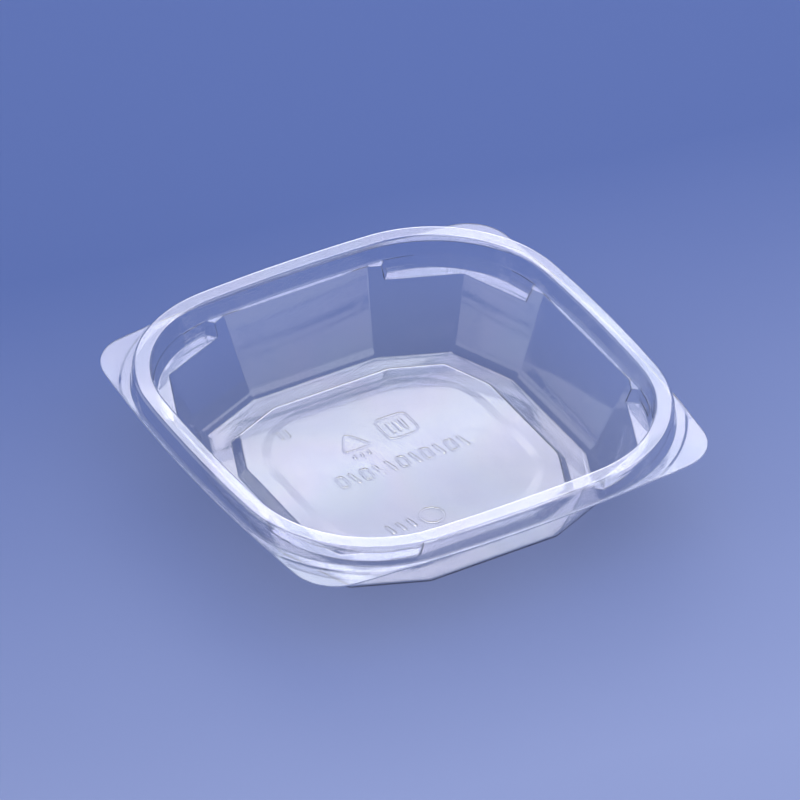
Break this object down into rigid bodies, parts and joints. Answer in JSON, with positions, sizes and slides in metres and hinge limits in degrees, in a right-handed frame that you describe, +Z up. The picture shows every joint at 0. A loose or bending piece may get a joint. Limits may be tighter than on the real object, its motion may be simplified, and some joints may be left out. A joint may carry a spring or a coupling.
{
  "type": "clear plastic food tub",
  "caption": "Square clear plastic food tub with drafted faceted walls, corner pockets, a raised floor panel, a hollow snap rim and corner pull tabs.",
  "frame": {"origin": "centre of the tub on the table, level with the foot ring it stands on", "axes": "+Z up through the open mouth; the four bowed sides face X and Y, and the pull tabs lie on the diagonals"},
  "size_m": [0.14, 0.14, 0.0306],
  "materials": {
    "clear_plastic": "clear gloss"
  },
  "bodies": {
    "root": {"tub": "clear_plastic"}
  },
  "joints": []
}
